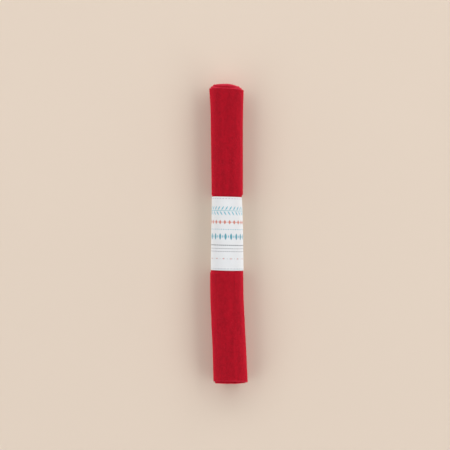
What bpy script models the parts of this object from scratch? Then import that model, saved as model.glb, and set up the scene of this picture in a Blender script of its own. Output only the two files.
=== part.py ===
"""A sheet of crimson felt, wound into a slim roll and held round its middle by a paper band.

The roll lies along Y with its flat spot on the plane z = 0. Sizes are in millimetres.
"""

from math import acos, cos, floor, pi, radians, sin, tau

import bpy
import numpy as np

MM = 0.001

# The felt sheet: its short side is the roll's length, and its long side is wound up.
SHEET_LENGTH = 457.2
FELT_THICKNESS = 1.35

# The winding, over the outer face of the sheet, before the roll's own taper is put on.
CORE_FACE_RADIUS = 4.9
END_FACE_RADIUS = 17.8
CORE_OVAL = 0.45
CORE_OVAL_TILT = radians(20)
LOOSE_EDGE = radians(-42)

# The paper band round the middle.
PAPER_THICKNESS = 0.3
PAPER_GAP = 0.3
LAP_GAP = 0.1
BAND_MIDDLE = -0.3
BAND_WIDTH = 76.9
BAND_TILT = 0.4
LAP_START = radians(246)
LAP_LENGTH = radians(48)
LAP_RISE = radians(12)
BAND_COVER = PAPER_GAP + PAPER_THICKNESS

# The roll rests on a flat spot this far to each side of straight down.
DOWN = radians(-90)
FACET = radians(12)
COARSE_RADIUS = 9.0
FLAT_HALF_ANGLE = FACET

# Sections along the roll: place, width of the felt, sideways place of the axis, cover on the felt.
SECTIONS = [
    {"y": -156.0, "width": 35.6, "axis_x": 2.2, "cover": 0.0},
    {"y": -125.0, "width": 35.3, "axis_x": 1.2, "cover": 0.0},
    {"y": -90.0, "width": 35.1, "axis_x": -0.3, "cover": 0.0},
    {"y": -42.5, "width": 34.8, "axis_x": -1.6, "cover": 0.0},
    {"y": -39.4, "width": 33.2, "axis_x": -1.1, "cover": BAND_COVER},
    {"y": 0.0, "width": 32.1, "axis_x": -1.1, "cover": BAND_COVER},
    {"y": 39.4, "width": 30.4, "axis_x": -1.3, "cover": BAND_COVER},
    {"y": 42.5, "width": 33.0, "axis_x": -1.0, "cover": 0.0},
    {"y": 85.0, "width": 33.4, "axis_x": -1.3, "cover": 0.0},
    {"y": 124.0, "width": 34.0, "axis_x": -1.6, "cover": 0.0},
    {"y": 141.0, "width": 35.1, "axis_x": -1.8, "cover": 0.0},
    {"y": 156.0, "width": 36.2, "axis_x": -2.0, "cover": 0.0},
]

# Cut ends of the sheet, counted in turns inwards from its loose edge. The turns have slipped.
CUT_ENDS = [
    {"turns_in": 0.0, "top": 149.5, "bottom": -156.4},
    {"turns_in": 0.12, "top": 149.8, "bottom": -156.3},
    {"turns_in": 0.37, "top": 151.0, "bottom": -153.6},
    {"turns_in": 0.6, "top": 151.9, "bottom": -155.3},
    {"turns_in": 0.85, "top": 152.2, "bottom": -155.8},
    {"turns_in": 1.12, "top": 151.9, "bottom": -156.6},
    {"turns_in": 1.37, "top": 152.4, "bottom": -156.3},
    {"turns_in": 1.6, "top": 153.8, "bottom": -156.8},
    {"turns_in": 2.15, "top": 152.9, "bottom": -155.0},
    {"turns_in": 2.3, "top": 155.0, "bottom": -154.0},
    {"turns_in": 2.6, "top": 155.5, "bottom": -153.2},
    {"turns_in": 3.4, "top": 154.2, "bottom": -152.4},
    {"turns_in": 5.0, "top": 153.2, "bottom": -153.6},
    {"turns_in": 7.0, "top": 152.0, "bottom": -154.8},
]
CUT_WAVE = 0.2
CUT_WAVES_A_TURN = 3.6

# The winding's total angle is the sheet's length over the mean radius of its middle.
MEAN_RADIUS = (CORE_FACE_RADIUS + END_FACE_RADIUS - FELT_THICKNESS) / 2
WINDING = SHEET_LENGTH / MEAN_RADIUS
PITCH = (END_FACE_RADIUS - CORE_FACE_RADIUS) / WINDING * tau

FELT_COLOUR = (0.39, 0.009, 0.018, 1)
FELT_ROUGHNESS = 0.95
PAPER_COLOUR = (0.80, 0.79, 0.77, 1)
PAPER_ROUGHNESS = 0.7


def column(table, name):
    return [row[name] for row in table]


def along(y, name):
    """A value from the sections' table at the place y."""
    return float(np.interp(y, column(SECTIONS, "y"), column(SECTIONS, name)))


def turns_in(direction):
    """How far inwards of the loose edge, in turns, the outermost face at a direction is."""
    return (direction - LOOSE_EDGE) % tau / tau


def outer_radius(direction):
    return END_FACE_RADIUS - PITCH * turns_in(direction)


def taut_radius(direction):
    """The outermost face with the step at the loose edge bridged by a straight, taut stretch."""
    low = outer_radius(LOOSE_EDGE - acos(1 - PITCH / END_FACE_RADIUS))
    reach = acos(low / END_FACE_RADIUS)
    past_edge = (LOOSE_EDGE - direction) % tau
    if past_edge < reach:
        return low / cos(reach - past_edge)
    return outer_radius(direction)


BASE_WIDTH = outer_radius(0) + outer_radius(pi)


def section_scale(y):
    return along(y, "width") / BASE_WIDTH


def shell_radius(direction, y):
    """How far the roll reaches from its axis, felt and what covers it."""
    return section_scale(y) * outer_radius(direction) + along(y, "cover")


def axis_height(y):
    """Low enough for the flat spot's nearer corner, on the thinner side, to meet the surface."""
    return shell_radius(DOWN + FLAT_HALF_ANGLE, y) * cos(FLAT_HALF_ANGLE)


def flattening(direction, y):
    """The share of a radius that is left where the roll presses on the surface under it."""
    reach_down = -sin(direction) * shell_radius(direction, y)
    if reach_down <= axis_height(y):
        return 1
    return axis_height(y) / reach_down


def place(radius, direction, y):
    """The point at a radius from the roll's axis, flattened underneath."""
    reach = radius * flattening(direction, y)
    height = axis_height(y) + reach * sin(direction)
    return along(y, "axis_x") + reach * cos(direction), y, max(height, 0)


def directions(start, end, radius_at):
    """Facet corners from start down to end, in line from turn to turn and wider near the core."""
    corners = [start]
    step = floor((start - DOWN) / FACET - 0.5)
    while DOWN + step * FACET > end + FACET / 2:
        direction = DOWN + step * FACET
        if radius_at(direction) > COARSE_RADIUS or step % 2 == 0:
            corners.append(direction)
        step -= 1
    return corners + [end]


def felt_radius(direction):
    """The outer face of the felt. Directions fall from the core's edge to the loose edge."""
    inwards = (direction - LOOSE_EDGE) / WINDING
    spiral = END_FACE_RADIUS + (CORE_FACE_RADIUS - END_FACE_RADIUS) * inwards
    inside = max(inwards - tau / WINDING, 0)
    return spiral + CORE_OVAL * inside**2 * cos(2 * (direction - CORE_OVAL_TILT))


def cut_end(direction, name):
    """Where the sheet's cut edge lies along the roll, a little uneven."""
    turns = (direction - LOOSE_EDGE) / tau
    end = float(np.interp(turns, column(CUT_ENDS, "turns_in"), column(CUT_ENDS, name)))
    return end + CUT_WAVE * sin(CUT_WAVES_A_TURN * turns * tau)


def felt_rows():
    """One row of points along the roll for each direction of the winding."""
    rows = []
    inner_places = column(SECTIONS, "y")[1:-1]
    for direction in directions(LOOSE_EDGE + WINDING, LOOSE_EDGE, felt_radius):
        places = [cut_end(direction, "bottom"), *inner_places, cut_end(direction, "top")]
        radius = felt_radius(direction)
        rows.append([place(section_scale(y) * radius, direction, y) for y in places])
    return rows


def lap_height(direction):
    """How far the paper has risen onto its own start, where its ends lap."""
    left = direction - (LAP_START - tau)
    rise = min(max(1 - left / LAP_RISE, 0), 1)
    return rise * (PAPER_THICKNESS + LAP_GAP)


def paper_rows():
    """One row of points across the band for each direction round the roll."""
    rows = []
    lap_end = LAP_START - tau - LAP_LENGTH
    for direction in directions(LAP_START, lap_end, lambda _: END_FACE_RADIUS):
        middle = BAND_MIDDLE - BAND_TILT * cos(direction)
        row = []
        for y in (middle - BAND_WIDTH / 2, middle, middle + BAND_WIDTH / 2):
            face = section_scale(y) * taut_radius(direction) + BAND_COVER
            row.append(place(face + lap_height(direction), direction, y))
        rows.append(row)
    return rows


def material(name, colour, roughness):
    made = bpy.data.materials.new(name)
    made.use_nodes = True
    shader = made.node_tree.nodes["Principled BSDF"]
    shader.inputs["Base Color"].default_value = colour
    shader.inputs["Roughness"].default_value = roughness
    shader.inputs["Metallic"].default_value = 0
    made.diffuse_color = colour
    return made


def wound_sheet(name, rows, thickness, finish, parent):
    """A sheet through rows of points, its face outwards and its thickness inside it."""
    across = len(rows[0])
    points = [[part * MM for part in point] for row in rows for point in row]
    faces = []
    for i in range(len(rows) - 1):
        for j in range(across - 1):
            corner = i * across + j
            faces.append((corner, corner + across, corner + across + 1, corner + 1))
    mesh = bpy.data.meshes.new(name)
    mesh.from_pydata(points, [], faces)
    mesh.materials.append(finish)
    mesh.shade_smooth()
    mesh.set_sharp_from_angle(angle=radians(35))
    sheet = bpy.data.objects.new(name, mesh)
    bpy.context.collection.objects.link(sheet)
    sheet.parent = parent
    solid = sheet.modifiers.new("thickness", "SOLIDIFY")
    solid.thickness = thickness * MM
    solid.offset = -1
    solid.use_even_offset = True
    return sheet


def main():
    for old in list(bpy.data.objects):
        bpy.data.objects.remove(old)
    felt_points = felt_rows()
    paper_points = paper_rows()
    reach = np.array([point for row in felt_points + paper_points for point in row])
    middle = (reach.min(axis=0) + reach.max(axis=0)) / 2
    frame = bpy.data.objects.new("roll_frame", None)
    bpy.context.collection.objects.link(frame)
    frame.location = (-middle[0] * MM, -middle[1] * MM, 0)
    felt = material("crimson_felt", FELT_COLOUR, FELT_ROUGHNESS)
    paper = material("white_paper", PAPER_COLOUR, PAPER_ROUGHNESS)
    wound_sheet("felt_roll", felt_points, FELT_THICKNESS, felt, frame)
    wound_sheet("paper_band", paper_points, PAPER_THICKNESS, paper, frame)


main()
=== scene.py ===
"""The looks of a roll of crimson felt with a paper band: wound sheet, fuzz, paper, table and light.

Sizes are in millimetres and angles in radians, unless a name or comment says otherwise. The roll
lies along Y, as in the part.
"""

from math import acos, atan, cos, pi, radians, sin, tau

import bpy
import numpy as np
from mathutils import Matrix, Vector


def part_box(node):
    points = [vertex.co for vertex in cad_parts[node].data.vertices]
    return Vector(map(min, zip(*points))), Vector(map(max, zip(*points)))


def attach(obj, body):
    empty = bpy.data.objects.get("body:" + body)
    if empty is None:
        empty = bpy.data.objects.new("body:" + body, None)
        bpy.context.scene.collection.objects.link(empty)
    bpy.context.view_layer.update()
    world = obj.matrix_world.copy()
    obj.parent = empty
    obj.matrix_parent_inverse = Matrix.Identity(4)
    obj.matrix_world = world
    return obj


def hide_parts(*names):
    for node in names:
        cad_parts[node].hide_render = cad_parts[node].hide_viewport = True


MM = 0.001

# The sheet of felt and how it is wound, as in the part.
SHEET_LENGTH = 457.2
SHEET_WIDTH = 304.8
FELT_THICKNESS = 1.35
CORE_FACE_RADIUS = 4.9
END_FACE_RADIUS = 17.8
CORE_OVAL = 0.45
CORE_OVAL_TILT = radians(20)
LOOSE_EDGE = radians(-42)
LOOSE_RADIUS = END_FACE_RADIUS - FELT_THICKNESS / 2
MEAN_RADIUS = (CORE_FACE_RADIUS + END_FACE_RADIUS - FELT_THICKNESS) / 2
WINDING = SHEET_LENGTH / MEAN_RADIUS
PITCH = (END_FACE_RADIUS - CORE_FACE_RADIUS) / WINDING * tau

# The flat spot, to each side of straight down.
DOWN = radians(-90)
FLAT_HALF_ANGLE = radians(12)

# The paper band. Its outer face is where the part has it, and the paper is nearer its real gauge.
BAND_COVER = 0.6
BAND_MIDDLE = -0.3
BAND_WIDTH = 76.9
BAND_TILT = 0.4
PAPER_THICKNESS = 0.18
LAP_START = radians(246)
LAP_LENGTH = radians(48)
LAP_RISE = radians(12)
LAP_STEP = 0.3

# The band squeezes the felt this far from its middle, and farther out the felt is free again. Under
# the band the felt fills most of the gap that the part's solids leave.
SQUEEZED_TO = 38.9
FREE_FROM = 41.5
FELT_UNDER_BAND = 0.32

# Sections along the roll, as in the part: place, width of the felt, sideways place of its axis.
ROLL_REACH = 156.0
FREE_SECTIONS = [
    {"y": -156.0, "width": 35.6, "axis_x": 2.2},
    {"y": -125.0, "width": 35.3, "axis_x": 1.2},
    {"y": -90.0, "width": 35.1, "axis_x": -0.3},
    {"y": -42.5, "width": 34.8, "axis_x": -1.6},
    {"y": 42.5, "width": 33.0, "axis_x": -1.0},
    {"y": 85.0, "width": 33.4, "axis_x": -1.3},
    {"y": 124.0, "width": 34.0, "axis_x": -1.6},
    {"y": 141.0, "width": 35.1, "axis_x": -1.8},
    {"y": 156.0, "width": 36.2, "axis_x": -2.0},
]
COVERED_SECTIONS = [
    {"y": -39.4, "width": 33.2, "axis_x": -1.1},
    {"y": 0.0, "width": 32.1, "axis_x": -1.1},
    {"y": 39.4, "width": 30.4, "axis_x": -1.3},
]

# The sheet's cut ends, counted in turns inwards from its loose edge. They follow the part, and some
# inner turns at the top end differ from it by about a millimetre.
CUT_ENDS = [
    {"turns_in": 0.0, "top": 149.5, "bottom": -156.4},
    {"turns_in": 0.12, "top": 149.8, "bottom": -156.3},
    {"turns_in": 0.37, "top": 151.0, "bottom": -153.6},
    {"turns_in": 0.6, "top": 151.9, "bottom": -155.3},
    {"turns_in": 0.85, "top": 152.2, "bottom": -155.8},
    {"turns_in": 1.12, "top": 152.2, "bottom": -156.6},
    {"turns_in": 1.37, "top": 151.3, "bottom": -156.3},
    {"turns_in": 1.6, "top": 153.8, "bottom": -156.8},
    {"turns_in": 2.15, "top": 153.8, "bottom": -155.0},
    {"turns_in": 2.3, "top": 155.0, "bottom": -154.0},
    {"turns_in": 2.6, "top": 155.5, "bottom": -153.2},
    {"turns_in": 3.15, "top": 154.0, "bottom": -152.6},
    {"turns_in": 3.4, "top": 154.0, "bottom": -152.4},
    {"turns_in": 5.0, "top": 153.2, "bottom": -153.6},
    {"turns_in": 7.0, "top": 152.0, "bottom": -154.8},
]

# Where the felt's rows of mesh go, in shares: close together at the cut ends and beside the band.
ROW_PLACES = [
    {"rows": 0.00, "way": 0.000},
    {"rows": 0.12, "way": 0.030},
    {"rows": 0.30, "way": 0.350},
    {"rows": 0.39, "way": 0.380},
    {"rows": 0.61, "way": 0.620},
    {"rows": 0.70, "way": 0.650},
    {"rows": 0.88, "way": 0.970},
    {"rows": 1.00, "way": 1.000},
]

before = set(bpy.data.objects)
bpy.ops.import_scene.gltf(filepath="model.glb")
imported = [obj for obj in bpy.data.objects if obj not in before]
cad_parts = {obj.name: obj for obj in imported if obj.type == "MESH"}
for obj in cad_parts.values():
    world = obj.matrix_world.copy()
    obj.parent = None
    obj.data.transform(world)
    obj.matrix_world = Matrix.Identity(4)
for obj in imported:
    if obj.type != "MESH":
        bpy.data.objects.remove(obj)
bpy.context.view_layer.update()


def linear(hex_colour):
    """A colour for the shaders from an sRGB hex value."""
    parts = [int(hex_colour[i:i + 2], 16) / 255 for i in (1, 3, 5)]
    return [p / 12.92 if p <= 0.04045 else ((p + 0.055) / 1.055) ** 2.4 for p in parts] + [1]


def add(tree, kind, inputs=None, **settings):
    """A node with its settings and inputs.

    An input goes by its name, or by its number where names repeat or aren't known. It is a value, a
    socket or the node whose first output it takes.
    """
    node = tree.nodes.new(kind)
    for name, value in settings.items():
        setattr(node, name, value)
    for name, value in (inputs or {}).items():
        if isinstance(value, bpy.types.Node):
            value = value.outputs[0]
        if isinstance(value, bpy.types.NodeSocket):
            tree.links.new(value, node.inputs[name])
        else:
            node.inputs[name].default_value = value
    return node


def work_out(tree, known, steps):
    """Adds a calculation's steps as Math nodes. A step is its result's name, operation, operands."""
    for result, operation, *operands in steps:
        inputs = {i: known.get(operand, operand) for i, operand in enumerate(operands)}
        known[result] = add(tree, "ShaderNodeMath", inputs, operation=operation)


def through_table(tree, place, table, key, value, handles="AUTO_CLAMPED"):
    """A curve through a table's rows, read at a place."""
    keys = [row[key] for row in table]
    values = [row[value] for row in table]
    low, high = min(values), max(values)
    share = add(tree, "ShaderNodeMapRange", {
        "Value": place,
        "From Min": keys[0],
        "From Max": keys[-1],
    })
    curve = add(tree, "ShaderNodeFloatCurve", {"Value": share})
    points = curve.mapping.curves[0].points
    while len(points) < len(table):
        points.new(0.5, 0.5)
    for point, x, y in zip(points, keys, values):
        point.location = ((x - keys[0]) / (keys[-1] - keys[0]), (y - low) / (high - low))
        point.handle_type = handles
    curve.mapping.update()
    return add(tree, "ShaderNodeMapRange", {"Value": curve, "To Min": low, "To Max": high})


def new_tree(name, inputs, output):
    """A Geometry Nodes tree with its named sockets, and what is known at its start: its inputs."""
    tree = bpy.data.node_groups.new(name, "GeometryNodeTree")
    for title, kind in inputs:
        tree.interface.new_socket(title, in_out="INPUT", socket_type="NodeSocket" + kind)
    title, kind = output
    tree.interface.new_socket(title, in_out="OUTPUT", socket_type="NodeSocket" + kind)
    source = add(tree, "NodeGroupInput")
    return tree, {title: source.outputs[title] for title, _ in inputs}


def end_tree(tree, geometry, finish):
    """Ends a tree with real geometry, smooth and in its finish."""
    realized = add(tree, "GeometryNodeRealizeInstances", {"Geometry": geometry})
    smooth = add(tree, "GeometryNodeSetShadeSmooth", {"Geometry": realized})
    dressed = add(tree, "GeometryNodeSetMaterial", {"Geometry": smooth, "Material": finish})
    add(tree, "NodeGroupOutput", {0: dressed})


def made_by(tree, name, settings, mesh=None, finish=()):
    """The plain mesh object that a tree makes with its inputs set, and with finishing modifiers."""
    maker = bpy.data.objects.new(name + "_maker", mesh or bpy.data.meshes.new(name))
    bpy.context.scene.collection.objects.link(maker)
    nodes = maker.modifiers.new(name, "NODES")
    nodes.node_group = tree
    for item in tree.interface.items_tree:
        if item.in_out == "INPUT" and item.name in settings:
            nodes[item.identifier] = settings[item.name]
    for kind, values in finish:
        modifier = maker.modifiers.new(kind, kind)
        for setting, value in values.items():
            setattr(modifier, setting, value)
    graph = bpy.context.evaluated_depsgraph_get()
    made = bpy.data.meshes.new_from_object(maker.evaluated_get(graph))
    bpy.data.objects.remove(maker)
    made.name = name
    piece = bpy.data.objects.new(name, made)
    bpy.context.scene.collection.objects.link(piece)
    return piece


# The roll's form, which the felt and the paper share


def turned_in(direction):
    """How far inwards of the loose edge, in turns, the outermost face at a direction is."""
    return (direction - LOOSE_EDGE) % tau / tau


def outer_radius(direction):
    return END_FACE_RADIUS - PITCH * turned_in(direction)


BASE_WIDTH = outer_radius(0) + outer_radius(pi)


def roll_form_tree():
    """Lays a point on the roll from its direction, radius and place along it, in metres.

    The lift raises it off the squeezed felt where the band is.
    """
    tree, known = new_tree("Roll form", [
        ("Direction", "Float"),
        ("Radius", "Float"),
        ("Lift at band", "Float"),
        ("Along", "Float"),
    ], ("Position", "Vector"))
    work_out(tree, known, [
        ("from band", "SUBTRACT", "Along", BAND_MIDDLE),
        ("off band", "ABSOLUTE", "from band"),
    ])
    known["covered"] = add(tree, "ShaderNodeMapRange", {
        "Value": known["off band"],
        "From Min": SQUEEZED_TO,
        "From Max": FREE_FROM,
        "To Min": 1.0,
        "To Max": 0.0,
    }, interpolation_type="SMOOTHSTEP")
    for value in ("width", "axis_x"):
        free = through_table(tree, known["Along"], FREE_SECTIONS, "y", value)
        under = through_table(tree, known["Along"], COVERED_SECTIONS, "y", value)
        known[value] = add(tree, "ShaderNodeMix", {0: known["covered"], 2: free, 3: under})
    work_out(tree, known, [
        ("scale", "DIVIDE", "width", BASE_WIDTH),
        ("cover", "MULTIPLY", "covered", BAND_COVER),
        ("lift", "MULTIPLY", "covered", "Lift at band"),
        ("low face", "MULTIPLY_ADD", "scale", outer_radius(DOWN + FLAT_HALF_ANGLE), "cover"),
        ("axis height", "MULTIPLY", "low face", cos(FLAT_HALF_ANGLE)),
        ("past edge", "SUBTRACT", "Direction", LOOSE_EDGE),
        ("past edge turns", "DIVIDE", "past edge", tau),
        ("turns in", "FRACT", "past edge turns"),
        ("outer face", "MULTIPLY_ADD", "turns in", -PITCH, END_FACE_RADIUS),
        ("shell", "MULTIPLY_ADD", "outer face", "scale", "cover"),
        ("sine", "SINE", "Direction"),
        ("cosine", "COSINE", "Direction"),
        ("down share", "MULTIPLY", "sine", -1),
        ("reach down", "MULTIPLY", "down share", "shell"),
        ("pressing", "MAXIMUM", "reach down", "axis height"),
        ("flattening", "DIVIDE", "axis height", "pressing"),
        ("scaled radius", "MULTIPLY_ADD", "Radius", "scale", "lift"),
        ("reach", "MULTIPLY", "scaled radius", "flattening"),
        ("x", "MULTIPLY_ADD", "reach", "cosine", "axis_x"),
        ("z", "MULTIPLY_ADD", "reach", "sine", "axis height"),
        ("height", "MAXIMUM", "z", 0),
    ])
    point = add(tree, "ShaderNodeCombineXYZ", {
        "X": known["x"],
        "Y": known["Along"],
        "Z": known["height"],
    })
    metres = add(tree, "ShaderNodeVectorMath", {0: point, "Scale": MM}, operation="SCALE")
    add(tree, "NodeGroupOutput", {0: metres})
    return tree


def flat_grid(tree, known, columns, rows):
    """A flat grid of side 1 about the origin, and each corner's place on it."""
    grid = add(tree, "GeometryNodeMeshGrid", {
        "Size X": 1.0,
        "Size Y": 1.0,
        "Vertices X": known[columns],
        "Vertices Y": known[rows],
    })
    flat = add(tree, "ShaderNodeSeparateXYZ", {"Vector": add(tree, "GeometryNodeInputPosition")})
    known["flat x"], known["flat y"] = flat.outputs["X"], flat.outputs["Y"]
    return grid


# How the real sheet departs from an even spiral. The cut wanders along the roll and the loose edge
# round it, dents run a few turns deep, and the turns part and close beyond where the band holds them.
CUT_WANDER = 0.9
CUT_WAVES_A_RADIAN = 1.1
EDGE_WANDER = 0.12
EDGE_WAVES_A_MM = 0.035
EDGE_TURNS = 0.06
DENTS_A_MM = 0.075
DENT_STRETCH = 0.3
HELD_TO = 85.0
HELD_DENT_SHARE = 0.2
PARTING = 0.2
PARTING_WAVES = 1.37


def felt_tree(roll_form, cloth):
    """A flat grid wound into the spiral, a little uneven, its cut ends slipped along the roll."""
    tree, known = new_tree("Wound felt", [
        ("Corners round", "Int"),
        ("Rows along", "Int"),
        ("Winding", "Float"),
        ("Core radius", "Float"),
        ("End radius", "Float"),
        ("Unevenness", "Float"),
        ("Seed", "Float"),
    ], ("Geometry", "Geometry"))
    grid = flat_grid(tree, known, "Corners round", "Rows along")
    work_out(tree, known, [
        ("to wind", "SUBTRACT", 0.5, "flat x"),
        ("turned back", "MULTIPLY", "to wind", "Winding"),
        ("direction", "ADD", "turned back", LOOSE_EDGE),
        ("turns in", "DIVIDE", "turned back", tau),
        ("row", "ADD", "flat y", 0.5),
    ])
    top = through_table(tree, known["turns in"], CUT_ENDS, "turns_in", "top")
    bottom = through_table(tree, known["turns in"], CUT_ENDS, "turns_in", "bottom")
    way = through_table(tree, known["row"], ROW_PLACES, "rows", "way", "VECTOR")
    known["straight"] = add(tree, "ShaderNodeMix", {0: way, 2: bottom, 3: top})

    # Each corner's place on the flat sheet, as shares of its length and width
    work_out(tree, known, [
        ("mean so far", "MULTIPLY_ADD", "to wind", MEAN_RADIUS - LOOSE_RADIUS, LOOSE_RADIUS),
        ("wound length", "MULTIPLY", "mean so far", "to wind"),
        ("wound share", "DIVIDE", "wound length", MEAN_RADIUS),
        ("share round", "SUBTRACT", 1, "wound share"),
    ])
    layout = add(tree, "ShaderNodeCombineXYZ", {"X": known["share round"], "Y": way})

    # The cut ends and the loose edge are not quite straight
    known["cut wave"] = add(tree, "ShaderNodeTexNoise", {
        "W": known["direction"],
        "Scale": CUT_WAVES_A_RADIAN,
        "Detail": 3.0,
    }, noise_dimensions="1D")
    known["edge wave"] = add(tree, "ShaderNodeTexNoise", {
        "W": known["straight"],
        "Scale": EDGE_WAVES_A_MM,
        "Detail": 2.0,
    }, noise_dimensions="1D")
    known["at loose edge"] = add(tree, "ShaderNodeMapRange", {
        "Value": known["turns in"],
        "From Min": EDGE_TURNS,
        "From Max": 0.0,
    }, interpolation_type="SMOOTHSTEP")
    work_out(tree, known, [
        ("cut offset", "SUBTRACT", "cut wave", 0.5),
        ("along", "MULTIPLY_ADD", "cut offset", CUT_WANDER, "straight"),
        ("edge offset", "SUBTRACT", "edge wave", 0.5),
        ("edge shift", "MULTIPLY", "edge offset", EDGE_WANDER),
        ("loose shift", "MULTIPLY", "edge shift", "at loose edge"),
        ("wavy direction", "ADD", "direction", "loose shift"),
        ("off middle", "ABSOLUTE", "along"),
    ])

    # The spiral, with an oval core
    work_out(tree, known, [
        ("growth", "SUBTRACT", "Core radius", "End radius"),
        ("spiral", "MULTIPLY_ADD", "to wind", "growth", "End radius"),
        ("one turn", "DIVIDE", tau, "Winding"),
        ("past last turn", "SUBTRACT", "to wind", "one turn"),
        ("inside", "MAXIMUM", "past last turn", 0),
        ("inside squared", "POWER", "inside", 2),
        ("from oval", "SUBTRACT", "direction", CORE_OVAL_TILT),
        ("twice", "MULTIPLY", "from oval", 2),
        ("oval wave", "COSINE", "twice"),
        ("oval share", "MULTIPLY", "oval wave", "inside squared"),
        ("oval radius", "MULTIPLY_ADD", "oval share", CORE_OVAL, "spiral"),
        ("sine", "SINE", "direction"),
        ("cosine", "COSINE", "direction"),
        ("x", "MULTIPLY", "cosine", "spiral"),
        ("z", "MULTIPLY", "sine", "spiral"),
        ("slow along", "MULTIPLY", "along", DENT_STRETCH),
    ])

    # Dents, and turns that part and close, both less where the band holds them
    spot = add(tree, "ShaderNodeCombineXYZ", {
        "X": known["x"],
        "Y": known["slow along"],
        "Z": known["z"],
    })
    known["dents"] = add(tree, "ShaderNodeTexNoise", {
        "Vector": spot,
        "W": known["Seed"],
        "Scale": DENTS_A_MM,
        "Detail": 2.0,
    }, noise_dimensions="4D")
    known["loose"] = add(tree, "ShaderNodeMapRange", {
        "Value": known["off middle"],
        "From Min": HELD_TO,
        "From Max": ROLL_REACH,
    }, interpolation_type="SMOOTHSTEP")
    work_out(tree, known, [
        ("dent", "SUBTRACT", "dents", 0.5),
        ("dent share", "MULTIPLY_ADD", "loose", 1 - HELD_DENT_SHARE, HELD_DENT_SHARE),
        ("dent depth", "MULTIPLY", "dent", "dent share"),
        ("dented", "MULTIPLY", "dent depth", "Unevenness"),
        ("part phase", "MULTIPLY", "turned back", PARTING_WAVES),
        ("part wave", "SINE", "part phase"),
        ("part share", "MULTIPLY", "part wave", "loose"),
        ("uneven", "MULTIPLY_ADD", "part share", PARTING, "dented"),
        ("radius", "ADD", "oval radius", "uneven"),
    ])
    wound = add(tree, "GeometryNodeGroup", {
        "Direction": known["wavy direction"],
        "Radius": known["radius"],
        "Lift at band": FELT_UNDER_BAND,
        "Along": known["along"],
    }, node_tree=roll_form)
    kept = add(tree, "GeometryNodeStoreNamedAttribute", {
        "Geometry": grid,
        "Name": "sheet",
        "Value": layout,
    }, data_type="FLOAT2", domain="CORNER")
    kept = add(tree, "GeometryNodeStoreNamedAttribute", {
        "Geometry": kept,
        "Name": "turns_in",
        "Value": known["turns in"],
    }, data_type="FLOAT", domain="POINT")
    placed = add(tree, "GeometryNodeSetPosition", {"Geometry": kept, "Position": wound})
    end_tree(tree, placed, cloth)
    return tree


# The paper waves a little, and more in a narrow strip at its rims, where it is free.
RIM_FROM = 0.47
RIM_WAVE = 0.62
INNER_WAVE = 0.12
PAPER_WAVES = 2.2


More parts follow.
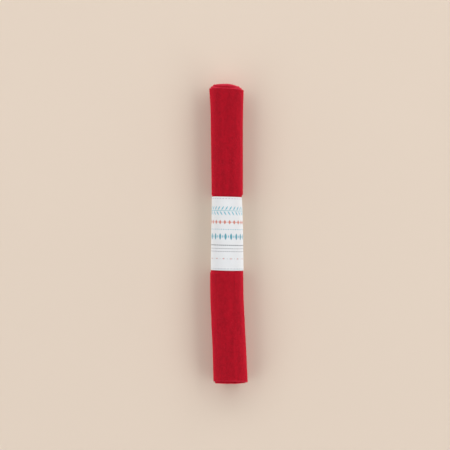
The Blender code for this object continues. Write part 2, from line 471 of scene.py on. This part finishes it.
def paper_tree(roll_form, paper):
    """A strip wound once round the felt, taut over the loose edge's step, with its end lapped."""
    tree, known = new_tree("Wound paper", [
        ("Corners round", "Int"),
        ("Rows across", "Int"),
        ("Width", "Float"),
        ("Lap", "Float"),
        ("Seed", "Float"),
    ], ("Geometry", "Geometry"))
    grid = flat_grid(tree, known, "Corners round", "Rows across")

    # Past the loose edge the paper bridges the step straight, until it touches the felt again
    low = outer_radius(LOOSE_EDGE - acos(1 - PITCH / END_FACE_RADIUS))
    reach = acos(low / END_FACE_RADIUS)
    work_out(tree, known, [
        ("share", "ADD", "flat x", 0.5),
        ("round", "ADD", "Lap", tau),
        ("turned", "MULTIPLY", "share", "round"),
        ("direction", "SUBTRACT", LAP_START, "turned"),
        ("from edge", "SUBTRACT", "direction", LOOSE_EDGE),
        ("from edge turns", "DIVIDE", "from edge", tau),
        ("turns in", "FRACT", "from edge turns"),
        ("felt face", "MULTIPLY_ADD", "turns in", -PITCH, END_FACE_RADIUS),
        ("before edge", "SUBTRACT", 1, "turns in"),
        ("past edge", "MULTIPLY", "before edge", tau),
        ("to touch", "SUBTRACT", "past edge", reach),
        ("bridging", "LESS_THAN", "to touch", 0),
        ("bridge cosine", "COSINE", "to touch"),
        ("bridge", "DIVIDE", low, "bridge cosine"),
    ])
    radius = add(tree, "ShaderNodeMix", {
        0: known["bridging"],
        2: known["felt face"],
        3: known["bridge"],
    })

    # It lies a little askew, laps over its own start and waves at its rims
    work_out(tree, known, [
        ("to lap", "SUBTRACT", "direction", LAP_START - tau),
        ("cosine", "COSINE", "direction"),
        ("tilt", "MULTIPLY", "cosine", -BAND_TILT),
        ("middle", "ADD", "tilt", BAND_MIDDLE),
        ("along", "MULTIPLY_ADD", "flat y", "Width", "middle"),
        ("off middle", "ABSOLUTE", "flat y"),
    ])
    known["lapped"] = add(tree, "ShaderNodeMapRange", {
        "Value": known["to lap"],
        "From Min": LAP_RISE,
        "From Max": 0.0,
    }, interpolation_type="SMOOTHSTEP")
    known["at rim"] = add(tree, "ShaderNodeMapRange", {
        "Value": known["off middle"],
        "From Min": RIM_FROM,
        "From Max": 0.5,
    }, interpolation_type="SMOOTHSTEP")
    spot = add(tree, "ShaderNodeCombineXYZ", {"X": known["turned"], "Y": known["flat y"]})
    known["waves"] = add(tree, "ShaderNodeTexNoise", {
        "Vector": spot,
        "W": known["Seed"],
        "Scale": PAPER_WAVES,
        "Detail": 2.0,
    }, noise_dimensions="4D")
    work_out(tree, known, [
        ("wave", "SUBTRACT", "waves", 0.5),
        ("wave height", "MULTIPLY_ADD", "at rim", RIM_WAVE - INNER_WAVE, INNER_WAVE),
        ("waved", "MULTIPLY", "wave", "wave height"),
        ("lap step", "MULTIPLY_ADD", "lapped", LAP_STEP, BAND_COVER),
        ("lift", "ADD", "lap step", "waved"),
    ])
    wound = add(tree, "GeometryNodeGroup", {
        "Direction": known["direction"],
        "Radius": radius,
        "Lift at band": known["lift"],
        "Along": known["along"],
    }, node_tree=roll_form)
    kept = add(tree, "GeometryNodeStoreNamedAttribute", {
        "Geometry": grid,
        "Name": "print",
        "Value": grid.outputs["UV Map"],
    }, data_type="FLOAT2", domain="CORNER")
    placed = add(tree, "GeometryNodeSetPosition", {"Geometry": kept, "Position": wound})
    end_tree(tree, placed, paper)
    return tree


# A loose fibre arches from its root just under the felt's face. These are the middle and end points
# of its curve. Real fibres are about 0.03 mm thick, and these are a little coarser so that they show.
FIBRE_ARCHES = [
    {"middle": (0.35, 0.10, 0.75), "end": (1.05, -0.15, 0.35)},
    {"middle": (0.15, -0.20, 0.60), "end": (0.60, 0.30, 0.85)},
    {"middle": (0.60, 0.25, 0.45), "end": (1.35, -0.10, 0.20)},
    {"middle": (-0.10, 0.15, 0.50), "end": (0.25, -0.20, 1.00)},
]
FIBRE_ROOT = (0, 0, -0.12)
FIBRE_TIP_SHARE = 0.3
FIBRE_LEAN = radians(25)
FIBRE_SIZES = (0.6, 1.3)
FIBRE_CLEARANCE = 0.1

# Fibres grow on the outer turn, where it faces away from the roll's axis, and on the cut ends, whose
# faces point along the roll by more than END_FACING.
AXIS_HEIGHT = 17.2
OUTER_TURN = 1.02
END_FACING = 0.7


def fuzz_tree(loose):
    """Loose fibre ends that stand off the outer turn and off both cut ends, clear of the surface."""
    tree, known = new_tree("Felt fuzz", [
        ("Felt", "Geometry"),
        ("Fibres a square millimetre", "Float"),
        ("Cut end factor", "Float"),
        ("Fibre radius", "Float"),
        ("Lowest root", "Float"),
        ("Seed", "Int"),
    ], ("Geometry", "Geometry"))
    position = add(tree, "GeometryNodeInputPosition")
    spot = add(tree, "ShaderNodeSeparateXYZ", {"Vector": position})
    facing = add(tree, "ShaderNodeSeparateXYZ", {"Vector": add(tree, "GeometryNodeInputNormal")})
    turns = add(tree, "GeometryNodeInputNamedAttribute", {"Name": "turns_in"}, data_type="FLOAT")
    known["turns in"] = turns.outputs["Attribute"]
    for axis in "XYZ":
        known[axis] = spot.outputs[axis]
        known["facing " + axis] = facing.outputs[axis]
    work_out(tree, known, [
        ("from axis", "SUBTRACT", "Z", AXIS_HEIGHT * MM),
        ("side part", "MULTIPLY", "X", "facing X"),
        ("outward", "MULTIPLY_ADD", "from axis", "facing Z", "side part"),
        ("facing out", "GREATER_THAN", "outward", 0),
        ("outer turn", "LESS_THAN", "turns in", OUTER_TURN),
        ("on the side", "MULTIPLY", "facing out", "outer turn"),
        ("end facing", "ABSOLUTE", "facing Y"),
        ("on a cut end", "GREATER_THAN", "end facing", END_FACING),
        ("along", "ABSOLUTE", "Y"),
        ("off band", "GREATER_THAN", "along", (BAND_WIDTH / 2 + 1) * MM),
        ("high enough", "GREATER_THAN", "Z", "Lowest root"),
        ("either", "MAXIMUM", "on the side", "on a cut end"),
        ("open", "MULTIPLY", "off band", "high enough"),
        ("rooted", "MULTIPLY", "either", "open"),
        ("a square metre", "MULTIPLY", "Fibres a square millimetre", 1 / MM**2),
        ("more", "MULTIPLY", "on a cut end", "Cut end factor"),
        ("times", "ADD", "more", 1),
        ("density", "MULTIPLY", "a square metre", "times"),
    ])
    roots = add(tree, "GeometryNodeDistributePointsOnFaces", {
        "Mesh": known["Felt"],
        "Selection": known["rooted"],
        "Density": known["density"],
        "Seed": known["Seed"],
    })
    outline = add(tree, "GeometryNodeCurvePrimitiveCircle", {
        "Resolution": 3,
        "Radius": known["Fibre radius"],
    })
    thinning = add(tree, "ShaderNodeMapRange", {
        "Value": add(tree, "GeometryNodeSplineParameter"),
        "To Min": 1.0,
        "To Max": FIBRE_TIP_SHARE,
    })
    shapes = add(tree, "GeometryNodeJoinGeometry")
    for arch in FIBRE_ARCHES:
        path = add(tree, "GeometryNodeCurveQuadraticBezier", {
            "Resolution": 3,
            "Start": FIBRE_ROOT,
            "Middle": arch["middle"],
            "End": arch["end"],
        })
        fibre = add(tree, "GeometryNodeCurveToMesh", {
            "Curve": path,
            "Profile Curve": outline,
            "Scale": thinning,
            "Fill Caps": True,
        })
        shape = add(tree, "GeometryNodeGeometryToInstance", {"Geometry": fibre})
        tree.links.new(shape.outputs[0], shapes.inputs[0])
    lean = add(tree, "FunctionNodeRandomValue", {
        0: (-FIBRE_LEAN, -FIBRE_LEAN, 0),
        1: (FIBRE_LEAN, FIBRE_LEAN, tau),
        "Seed": known["Seed"],
    }, data_type="FLOAT_VECTOR")
    shortest, longest = FIBRE_SIZES
    size = add(tree, "FunctionNodeRandomValue", {
        2: shortest * MM,
        3: longest * MM,
        "Seed": known["Seed"],
    })
    choice = add(tree, "FunctionNodeRandomValue", {
        4: 0,
        5: len(FIBRE_ARCHES) - 1,
        "Seed": known["Seed"],
    }, data_type="INT")
    turned = add(tree, "FunctionNodeRotateRotation", {
        "Rotation": roots.outputs["Rotation"],
        "Rotate By": add(tree, "FunctionNodeEulerToRotation", {"Euler": lean}),
    }, rotation_space="LOCAL")
    fibres = add(tree, "GeometryNodeInstanceOnPoints", {
        "Points": roots,
        "Instance": shapes,
        "Pick Instance": True,
        "Instance Index": choice.outputs[2],
        "Rotation": turned,
        "Scale": size.outputs[1],
    })

    # No fibre dips into what the roll lies on
    realized = add(tree, "GeometryNodeRealizeInstances", {"Geometry": fibres})
    lowest = (-SHEET_WIDTH * MM, -SHEET_WIDTH * MM, FIBRE_CLEARANCE * MM)
    lifted = add(tree, "ShaderNodeVectorMath", {0: position, 1: lowest}, operation="MAXIMUM")
    clear = add(tree, "GeometryNodeSetPosition", {"Geometry": realized, "Position": lifted})
    end_tree(tree, clear, loose)
    return tree


# Materials


def start_material(name, **values):
    """A new material, its node tree and its shader with plain numbers set on the sockets."""
    material = bpy.data.materials.new(name)
    material.use_nodes = True
    shader = material.node_tree.nodes["Principled BSDF"]
    for socket, value in values.items():
        shader.inputs[socket.replace("_", " ")].default_value = value
    return material, material.node_tree, shader


def sheet_place(tree, attribute, across, along):
    """The place on a flat sheet in millimetres, from the share of its sides kept on the mesh."""
    share = add(tree, "ShaderNodeAttribute", attribute_name=attribute)
    return add(tree, "ShaderNodeVectorMath", {
        0: share.outputs["Vector"],
        1: (across, along, 0),
    }, operation="MULTIPLY")


def give_relief(tree, known, shader, heights):
    """Bumps a shader's surface by the sum of its patterns, each with its height in millimetres."""
    known["relief"] = 0.0
    for pattern, height in heights.items():
        work_out(tree, known, [("relief", "MULTIPLY_ADD", pattern, height, "relief")])
    bump = add(tree, "ShaderNodeBump", {
        "Height": known["relief"],
        "Strength": 1.0,
        "Distance": MM,
    })
    tree.links.new(bump.outputs[0], shader.inputs["Normal"])


# Felt: each layer of fibres lies at its own heading on the sheet, in degrees. Real fibres are about
# 0.03 mm thick. The ridges stand for bundles of them and are as coarse as they need to be to show.
FIBRE_HEADINGS = [6, 41, 78, 112, 149]
BUNDLE_ACROSS = 0.9
BUNDLE_ALONG = 10.0
RIDGE_SHARPNESS = 11
DRIFTS_A_MM = 0.095
DRIFT_REACH = 15

# The felt's unevenness: sizes of its patterns, how much each shows in its colour, and its relief.
CLOUD_SIZE = 6.5
CLUMP_SIZE = 1.9
GRAIN_SIZE = 0.42
STREAK_ACROSS = 4.3
STREAK_ALONG = 52.0
BROAD_CONTRAST = 1.8
FINE_CONTRAST = 1.8
RIDGE_CONTRAST = 0.55
FELT_RELIEF = {"ridges": 0.14, "grain": 0.22, "clumps": 0.35, "clouds": 0.30}

# The pale colour along the cut edges, partly paler fluffed fibres and partly a painted highlight: how far
# in it reaches and is full, how ragged it is, and how strong. It is wider and stronger on the inner
# turns' lip at the far end, where it is painted highlight for the light from the far side.
RIM_FLUFF_AND_HIGHLIGHT = 0.9
LIP_FLUFF_AND_HIGHLIGHT = 3.8
FLUFF_AND_HIGHLIGHT_FULLY = 0.2
FLUFF_AND_HIGHLIGHT_RAGGED = 1.4
RIM_FLUFF_AND_HIGHLIGHT_STRENGTH = 0.7
LIP_FLUFF_AND_HIGHLIGHT_STRENGTH = 0.95


def felt_material():
    """Craft felt: short fibres needled and pressed flat. It is matt and mottled, and its cut rims are
    paler, with fluff and a painted highlight.
    """
    material, tree, shader = start_material(
        "pressed crimson craft felt",
        Roughness=0.95,
        IOR=1.5,
        Diffuse_Roughness=1.0,
        Specular_IOR_Level=0.1,
        Sheen_Weight=1.0,
        Sheen_Roughness=0.6,
        Sheen_Tint=linear("#FF2C46"),
    )
    place = add(tree, "ShaderNodeTexCoord").outputs["Object"]
    flat = sheet_place(tree, "sheet", SHEET_LENGTH, SHEET_WIDTH)
    known = {}
    for pattern, size, detail in (
        ("clouds", CLOUD_SIZE, 3.0),
        ("clumps", CLUMP_SIZE, 2.0),
        ("grain", GRAIN_SIZE, 3.0),
    ):
        known[pattern] = add(tree, "ShaderNodeTexNoise", {
            "Vector": place,
            "Scale": 1 / (size * MM),
            "Detail": detail,
        })

    # The fibres wander, and bundles of them show as thin ridges that cross. Each layer is moved as
    # well as turned, so that no two have the same pattern.
    drift = add(tree, "ShaderNodeTexNoise", {"Vector": flat, "Scale": DRIFTS_A_MM, "Detail": 2.0})
    wander = add(tree, "ShaderNodeVectorMath", {
        0: drift.outputs["Color"],
        1: (DRIFT_REACH, DRIFT_REACH, 0),
        2: flat,
    }, operation="MULTIPLY_ADD")
    known["ridges"] = 0.0
    for heading in FIBRE_HEADINGS:
        laid = add(tree, "ShaderNodeMapping", {
            "Vector": wander,
            "Location": (heading, 2 * heading, 0),
            "Rotation": (0, 0, radians(heading)),
            "Scale": (BUNDLE_ALONG, BUNDLE_ACROSS, 1),
        }, vector_type="TEXTURE")
        known["layer"] = add(tree, "ShaderNodeTexNoise", {"Vector": laid, "Scale": 1.0, "Detail": 1.0})
        work_out(tree, known, [
            ("off crest", "SUBTRACT", "layer", 0.5),
            ("distance", "ABSOLUTE", "off crest"),
            ("crest", "MULTIPLY_ADD", "distance", -RIDGE_SHARPNESS, 1),
            ("ridges", "MAXIMUM", "ridges", "crest"),
        ])
    streaked = add(tree, "ShaderNodeMapping", {
        "Vector": flat,
        "Scale": (STREAK_ACROSS, STREAK_ALONG, 1),
    }, vector_type="TEXTURE")
    known["streaks"] = add(tree, "ShaderNodeTexNoise", {
        "Vector": streaked,
        "Scale": 1.0,
        "Detail": 2.0,
    })

    # Colour: deeper between the clumps, paler on the raised fibres
    work_out(tree, known, [
        ("broad", "ADD", "clouds", "streaks"),
        ("broad offset", "SUBTRACT", "broad", 1),
        ("tone", "MULTIPLY_ADD", "broad offset", BROAD_CONTRAST, 0.5),
        ("fine", "SUBTRACT", "clumps", 0.5),
        ("toned", "MULTIPLY_ADD", "fine", FINE_CONTRAST, "tone"),
        ("raised", "MULTIPLY", "ridges", RIDGE_CONTRAST),
    ])
    body = add(tree, "ShaderNodeMix", {
        0: known["toned"],
        6: linear("#860512"),
        7: linear("#B3091D"),
    }, data_type="RGBA")
    fibrous = add(tree, "ShaderNodeMix", {
        0: known["raised"],
        6: body.outputs[2],
        7: linear("#C61A30"),
    }, data_type="RGBA")

    # The shears leave the cut edges fluffed up and paler, and this colour also paints the highlight they
    # catch
    on_sheet = add(tree, "ShaderNodeSeparateXYZ", {"Vector": flat})
    known["up"], known["round"] = on_sheet.outputs["Y"], on_sheet.outputs["X"]
    known["turns in"] = add(tree, "ShaderNodeAttribute", attribute_name="turns_in").outputs["Fac"]
    work_out(tree, known, [
        ("from middle", "SUBTRACT", "up", SHEET_WIDTH / 2),
        ("off middle", "ABSOLUTE", "from middle"),
        ("to rim", "SUBTRACT", SHEET_WIDTH / 2, "off middle"),
        ("to loose edge", "SUBTRACT", SHEET_LENGTH, "round"),
        ("to any edge", "MINIMUM", "to rim", "to loose edge"),
        ("to fluff and highlight", "MULTIPLY_ADD", "fine", FLUFF_AND_HIGHLIGHT_RAGGED, "to any edge"),
        # The inner turns at the far end get a wider, stronger painted highlight, for light from the far
        # side
        ("inner turn", "GREATER_THAN", "turns in", 1.0),
        ("far half", "GREATER_THAN", "from middle", 0),
        ("lip", "MULTIPLY", "inner turn", "far half"),
        ("fluff and highlight width", "MULTIPLY_ADD", "lip", LIP_FLUFF_AND_HIGHLIGHT - RIM_FLUFF_AND_HIGHLIGHT, RIM_FLUFF_AND_HIGHLIGHT),
        ("fluff and highlight strength", "MULTIPLY_ADD", "lip", LIP_FLUFF_AND_HIGHLIGHT_STRENGTH - RIM_FLUFF_AND_HIGHLIGHT_STRENGTH, RIM_FLUFF_AND_HIGHLIGHT_STRENGTH),
    ])
    known["near edge"] = add(tree, "ShaderNodeMapRange", {
        "Value": known["to fluff and highlight"],
        "From Min": known["fluff and highlight width"],
        "From Max": FLUFF_AND_HIGHLIGHT_FULLY,
    }, interpolation_type="SMOOTHSTEP")
    work_out(tree, known, [("fluffed and highlit", "MULTIPLY", "near edge", "fluff and highlight strength")])
    # Painted highlight, with paler fluff: the pale colour at the cut rims
    colour = add(tree, "ShaderNodeMix", {
        0: known["fluffed and highlit"],
        6: fibrous.outputs[2],
        7: linear("#E6405A"),
    }, data_type="RGBA")
    tree.links.new(colour.outputs[2], shader.inputs["Base Color"])
    give_relief(tree, known, shader, FELT_RELIEF)
    return material


def fuzz_material():
    """Single dyed fibres that have worked loose: thinner than the mass, so they look lighter."""
    material, tree, shader = start_material(
        "loose crimson fibres",
        Roughness=0.7,
        IOR=1.5,
        Specular_IOR_Level=0.25,
        Sheen_Weight=0.6,
        Sheen_Roughness=0.5,
        Sheen_Tint=linear("#FF8090"),
    )
    tone = add(tree, "ShaderNodeTexNoise", {
        "Vector": add(tree, "ShaderNodeTexCoord").outputs["Object"],
        "Scale": 1 / (CLUMP_SIZE * MM),
        "Detail": 1.0,
    })
    colour = add(tree, "ShaderNodeMix", {
        0: tone,
        6: linear("#B80F25"),
        7: linear("#E03048"),
    }, data_type="RGBA")
    tree.links.new(colour.outputs[2], shader.inputs["Base Color"])
    return material


# Print on the band, a generic pattern in rows. Each row: its motif's middle from the far rim and
# the pitch round the band in millimetres, how far the row is moved along in pitches, the motif's
# half width and half height, its power (1 a diamond, about 1.5 a pointed oval, 2 an oval, above 4 a
# bar), its turn in degrees, and its ink. The band's length round the roll includes its lap.
BAND_ROUND = 121.0
DASH = (1.1, 0.28)
LEAF = (2.6, 0.75)
DOT = (0.5, 0.5)
RULE_DASH = (0.75, 0.28)
PRINT_ROWS = [
    {"at": 2.0, "pitch": 3.4, "moved": 0.0, "half": DASH, "power": 6, "turn": 0, "ink": "pale grey"},
    {"at": 12.0, "pitch": 4.4, "moved": 0.0, "half": LEAF, "power": 1.4, "turn": 56, "ink": "aqua"},
    {"at": 14.6, "pitch": 4.4, "moved": 0.2, "half": (4.4, 0.26), "power": 9, "turn": 0, "ink": "aqua"},
    {"at": 17.2, "pitch": 4.4, "moved": 0.4, "half": LEAF, "power": 1.4, "turn": -56, "ink": "aqua"},
    {"at": 26.5, "pitch": 5.2, "moved": 0.0, "half": (1.7, 2.3), "power": 1, "turn": 0, "ink": "coral"},
    {"at": 26.5, "pitch": 5.2, "moved": 0.5, "half": DOT, "power": 2, "turn": 0, "ink": "coral"},
    {"at": 34.0, "pitch": 2.6, "moved": 0.0, "half": DOT, "power": 2, "turn": 0, "ink": "teal"},
    {"at": 41.5, "pitch": 6.0, "moved": 0.0, "half": (1.35, 3.3), "power": 1.5, "turn": 0, "ink": "teal"},
    {"at": 41.5, "pitch": 6.0, "moved": 0.5, "half": (0.7, 1.5), "power": 1.5, "turn": 0, "ink": "aqua"},
    {"at": 50.5, "pitch": 2.3, "moved": 0.0, "half": (0.85, 0.45), "power": 6, "turn": 0, "ink": "slate"},
    {"at": 54.0, "pitch": 2.0, "moved": 0.3, "half": RULE_DASH, "power": 6, "turn": 0, "ink": "grey"},
    {"at": 57.0, "pitch": 2.0, "moved": 0.0, "half": RULE_DASH, "power": 6, "turn": 0, "ink": "grey"},
    {"at": 64.5, "pitch": 7.8, "moved": 0.0, "half": (0.6, 0.6), "power": 2, "turn": 0, "ink": "coral"},
    {"at": 64.5, "pitch": 2.6, "moved": 0.5, "half": (0.3, 0.3), "power": 2, "turn": 0, "ink": "grey"},
    {"at": 74.9, "pitch": 3.4, "moved": 0.5, "half": DASH, "power": 6, "turn": 0, "ink": "pale grey"},
]
INKS = {
    "coral": "#D9816C",
    "aqua": "#7DC4D3",
    "teal": "#4EA6BA",
    "slate": "#5C5E66",
    "grey": "#8C8E95",
    "pale grey": "#BFC1C7",
}

# The ink's soft edge, as a share of its motif, and how much of the paper shows its colour: a base
# share, and more with the grain.
INK_EDGE = 0.25
INK_COVER = 0.68
INK_GRAIN = 0.5
PAPER_GRAIN = 0.6
PAPER_CLOUDS = 7.0
PAPER_RELIEF = {"grain": 0.03, "clouds": 0.12}


def paper_material():
    """Uncoated band paper, offset printed: matt, with a faint grain, and ink that soaks in a little."""
    material, tree, shader = start_material(
        "printed uncoated paper",
        Roughness=0.8,
        Diffuse_Roughness=1.0,
        Specular_IOR_Level=0.3,
        Sheen_Weight=0.3,
        Sheen_Roughness=0.6,
    )
    place = add(tree, "ShaderNodeTexCoord").outputs["Object"]
    known = {}
    for pattern, size in (("grain", PAPER_GRAIN), ("clouds", PAPER_CLOUDS)):
        known[pattern] = add(tree, "ShaderNodeTexNoise", {
            "Vector": place,
            "Scale": 1 / (size * MM),
            "Detail": 3.0,
        })
    flat = sheet_place(tree, "print", BAND_ROUND, BAND_WIDTH)
    on_band = add(tree, "ShaderNodeSeparateXYZ", {"Vector": flat})
    known["round"], known["up"] = on_band.outputs["X"], on_band.outputs["Y"]
    work_out(tree, known, [
        ("down", "SUBTRACT", BAND_WIDTH, "up"),
        ("soaked", "MULTIPLY_ADD", "grain", INK_GRAIN, INK_COVER),
    ])
    colour = add(tree, "ShaderNodeMix", {
        0: known["clouds"],
        6: linear("#E9EAEC"),
        7: linear("#F1F2F3"),
    }, data_type="RGBA").outputs[2]
    for row in PRINT_ROWS:
        turn = radians(row["turn"])
        half_wide, half_high = row["half"]
        work_out(tree, known, [
            ("pitches", "MULTIPLY_ADD", "round", 1 / row["pitch"], row["moved"]),
            ("within pitch", "FRACT", "pitches"),
            ("from middle", "SUBTRACT", "within pitch", 0.5),
            ("sideways", "MULTIPLY", "from middle", row["pitch"]),
            ("upwards", "SUBTRACT", row["at"], "down"),
            ("side part", "MULTIPLY", "sideways", cos(turn) / half_wide),
            ("across", "MULTIPLY_ADD", "upwards", sin(turn) / half_wide, "side part"),
            ("lower part", "MULTIPLY", "sideways", -sin(turn) / half_high),
            ("along", "MULTIPLY_ADD", "upwards", cos(turn) / half_high, "lower part"),
            ("across size", "ABSOLUTE", "across"),
            ("along size", "ABSOLUTE", "along"),
            ("across power", "POWER", "across size", row["power"]),
            ("along power", "POWER", "along size", row["power"]),
            ("outwards", "ADD", "across power", "along power"),
        ])
        known["inked"] = add(tree, "ShaderNodeMapRange", {
            "Value": known["outwards"],
            "From Min": 1 + INK_EDGE,
            "From Max": 1 - INK_EDGE,
        }, interpolation_type="SMOOTHSTEP")
        work_out(tree, known, [("cover", "MULTIPLY", "inked", "soaked")])
        colour = add(tree, "ShaderNodeMix", {
            0: known["cover"],
            6: colour,
            7: linear(INKS[row["ink"]]),
        }, data_type="RGBA").outputs[2]
    tree.links.new(colour, shader.inputs["Base Color"])
    give_relief(tree, known, shader, PAPER_RELIEF)
    return material


PAINT_CLOUDS_A_METRE = 6.0


def table_material():
    """A board painted a pale peach-beige, matt: even, with the faint cloudiness of a rolled coat."""
    material, tree, shader = start_material("matt peach paint", Roughness=0.9)
    clouds = add(tree, "ShaderNodeTexNoise", {
        "Vector": add(tree, "ShaderNodeTexCoord").outputs["Object"],
        "Scale": PAINT_CLOUDS_A_METRE,
        "Detail": 2.0,
    })
    colour = add(tree, "ShaderNodeMix", {
        0: clouds,
        6: linear("#E3D2C1"),
        7: linear("#E5D4C3"),
    }, data_type="RGBA")
    tree.links.new(colour.outputs[2], shader.inputs["Base Color"])
    return material


# Pieces

RIM_ROUNDING = 0.5
RIM_ANGLE = radians(50)


def settle(piece, node):
    """Ties a finished piece to the part's body, and hides the part's node that it stands for."""
    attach(piece, "root")
    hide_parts(node)


def thickened(thickness):
    """The finishing modifier that gives a sheet its thickness, inside its outer face."""
    return "SOLIDIFY", {"thickness": thickness * MM, "offset": -1, "use_even_offset": True}


def make_roll():
    """The felt, its fuzz and its band, where the part has them. Gives how far they were moved."""
    roll_form = roll_form_tree()
    felt = made_by(felt_tree(roll_form, felt_material()), "felt_sheet", {
        "Corners round": 342,
        "Rows along": 130,
        "Winding": WINDING,
        "Core radius": CORE_FACE_RADIUS,
        "End radius": END_FACE_RADIUS,
        "Unevenness": 1.1,
        "Seed": 3.0,
    }, finish=[
        thickened(FELT_THICKNESS),
        ("BEVEL", {
            "width": RIM_ROUNDING * MM,
            "segments": 2,
            "limit_method": "ANGLE",
            "angle_limit": RIM_ANGLE,
        }),
    ])
    band = made_by(paper_tree(roll_form, paper_material()), "printed_band", {
        "Corners round": 200,
        "Rows across": 40,
        "Width": BAND_WIDTH,
        "Lap": LAP_LENGTH,
        "Seed": 5.0,
    }, finish=[thickened(PAPER_THICKNESS)])
    own = np.array([v.co for v in felt.data.vertices])
    own_middle = (own.min(axis=0) + own.max(axis=0)) / 2
    low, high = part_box("felt_roll")
    middle = (low + high) / 2
    shift = Vector((middle.x - own_middle[0], middle.y - own_middle[1], 0))
    for piece in (felt, band):
        piece.data.transform(Matrix.Translation(shift))
    fuzz = made_by(fuzz_tree(fuzz_material()), "felt_fuzz", {
        "Fibres a square millimetre": 0.2,
        "Cut end factor": 5.0,
        "Fibre radius": 0.035,
        "Lowest root": 2.0 * MM,
        "Seed": 4,
    }, mesh=felt.data)
    settle(felt, "felt_roll")
    settle(fuzz, "felt_roll")
    settle(band, "paper_band")
    return shift


# Table, light and camera

# The table's size and the camera's height are in metres. The camera's place over the roll is in
# millimetres, and so is what one pixel of the picture takes in of the table.
TABLE_SIZE = 24.0
CAMERA_HEIGHT = 1.6
CAMERA_X = -2.9
CAMERA_Y = 8.7
TABLE_A_PIXEL = 1.0596
PICTURE_WIDTH = 450

# Each softbox: bearing from +X and height above the table in degrees, size in metres across and
# along, and its share of the light that falls on the table. Their distance is in metres.
LAMP_DISTANCE = 5.0
SOFTBOXES = [
    {"name": "right_softbox", "bearing": 8, "above": 42, "size": (2.75, 13.0), "share": 0.345},
    {"name": "left_softbox", "bearing": 172, "above": 43, "size": (3.0, 13.0), "share": 0.29},
    {"name": "far_softbox", "bearing": 90, "above": 38, "size": (2.0, 3.5), "share": 0.09},
]

# The room: an even glow from above, and a stronger one from its white walls, which falls with height.
# The walls glow as strongly as it takes to add up to their share of the light on the table.
DOME_SHARE = 0.155
WALL_SHARE = 0.14
WALL_FALL = 4
WALL_GLOW = WALL_SHARE * (WALL_FALL + 1) * (WALL_FALL + 2) / 2


def make_table():
    half = TABLE_SIZE / 2
    mesh = bpy.data.meshes.new("table")
    corners = [(-half, -half, 0), (half, -half, 0), (half, half, 0), (-half, half, 0)]
    mesh.from_pydata(corners, [], [(0, 1, 2, 3)])
    mesh.materials.append(table_material())
    table = bpy.data.objects.new("table", mesh)
    bpy.context.scene.collection.objects.link(table)


def make_light(box):
    """A softbox aimed at the roll. Its power makes up for its slant and for its far-off ends."""
    bearing, above = radians(box["bearing"]), radians(box["above"])
    lamp = bpy.data.lights.new(box["name"], "AREA")
    lamp.shape = "RECTANGLE"
    lamp.size, lamp.size_y = box["size"]
    half_length = lamp.size_y / 2
    end_share = LAMP_DISTANCE**2 / (LAMP_DISTANCE**2 + half_length**2)
    mean_share = LAMP_DISTANCE / half_length * atan(half_length / LAMP_DISTANCE)
    spread = (end_share + mean_share) / 2
    lamp.energy = box["share"] * pi**2 * LAMP_DISTANCE**2 / (sin(above) * spread)
    light = bpy.data.objects.new(box["name"], lamp)
    toward = Vector((cos(above) * cos(bearing), cos(above) * sin(bearing), sin(above)))
    light.location = toward * LAMP_DISTANCE
    light.rotation_euler = toward.to_track_quat("Z", "X").to_euler()
    light.visible_camera = False
    bpy.context.scene.collection.objects.link(light)


def make_room():
    world = bpy.data.worlds.new("white_room")
    world.use_nodes = True
    tree = world.node_tree
    toward = add(tree, "ShaderNodeTexCoord").outputs["Generated"]
    direction = add(tree, "ShaderNodeSeparateXYZ", {"Vector": toward})
    known = {"height": direction.outputs["Z"]}
    work_out(tree, known, [
        ("raised", "MAXIMUM", "height", 0),
        ("level", "SUBTRACT", 1, "raised"),
        ("walls", "POWER", "level", WALL_FALL),
        ("glow", "MULTIPLY_ADD", "walls", WALL_GLOW, DOME_SHARE),
    ])
    background = tree.nodes["Background"]
    background.inputs["Color"].default_value = linear("#FFFFFF")
    tree.links.new(known["glow"].outputs[0], background.inputs["Strength"])
    bpy.context.scene.world = world


def make_camera(shift):
    """The camera looks straight down and takes in as much of the table as the photo does."""
    camera = bpy.data.cameras.new("camera")
    camera.sensor_width = 36
    half_width = PICTURE_WIDTH / 2 * TABLE_A_PIXEL * MM
    camera.angle = 2 * atan(half_width / CAMERA_HEIGHT)
    holder = bpy.data.objects.new("camera", camera)
    holder.location = (CAMERA_X * MM + shift.x, CAMERA_Y * MM + shift.y, CAMERA_HEIGHT)
    bpy.context.scene.collection.objects.link(holder)
    bpy.context.scene.camera = holder


roll_shift = make_roll()
make_table()
for softbox in SOFTBOXES:
    make_light(softbox)
make_room()
make_camera(roll_shift)
bpy.context.scene.view_settings.view_transform = "Standard"
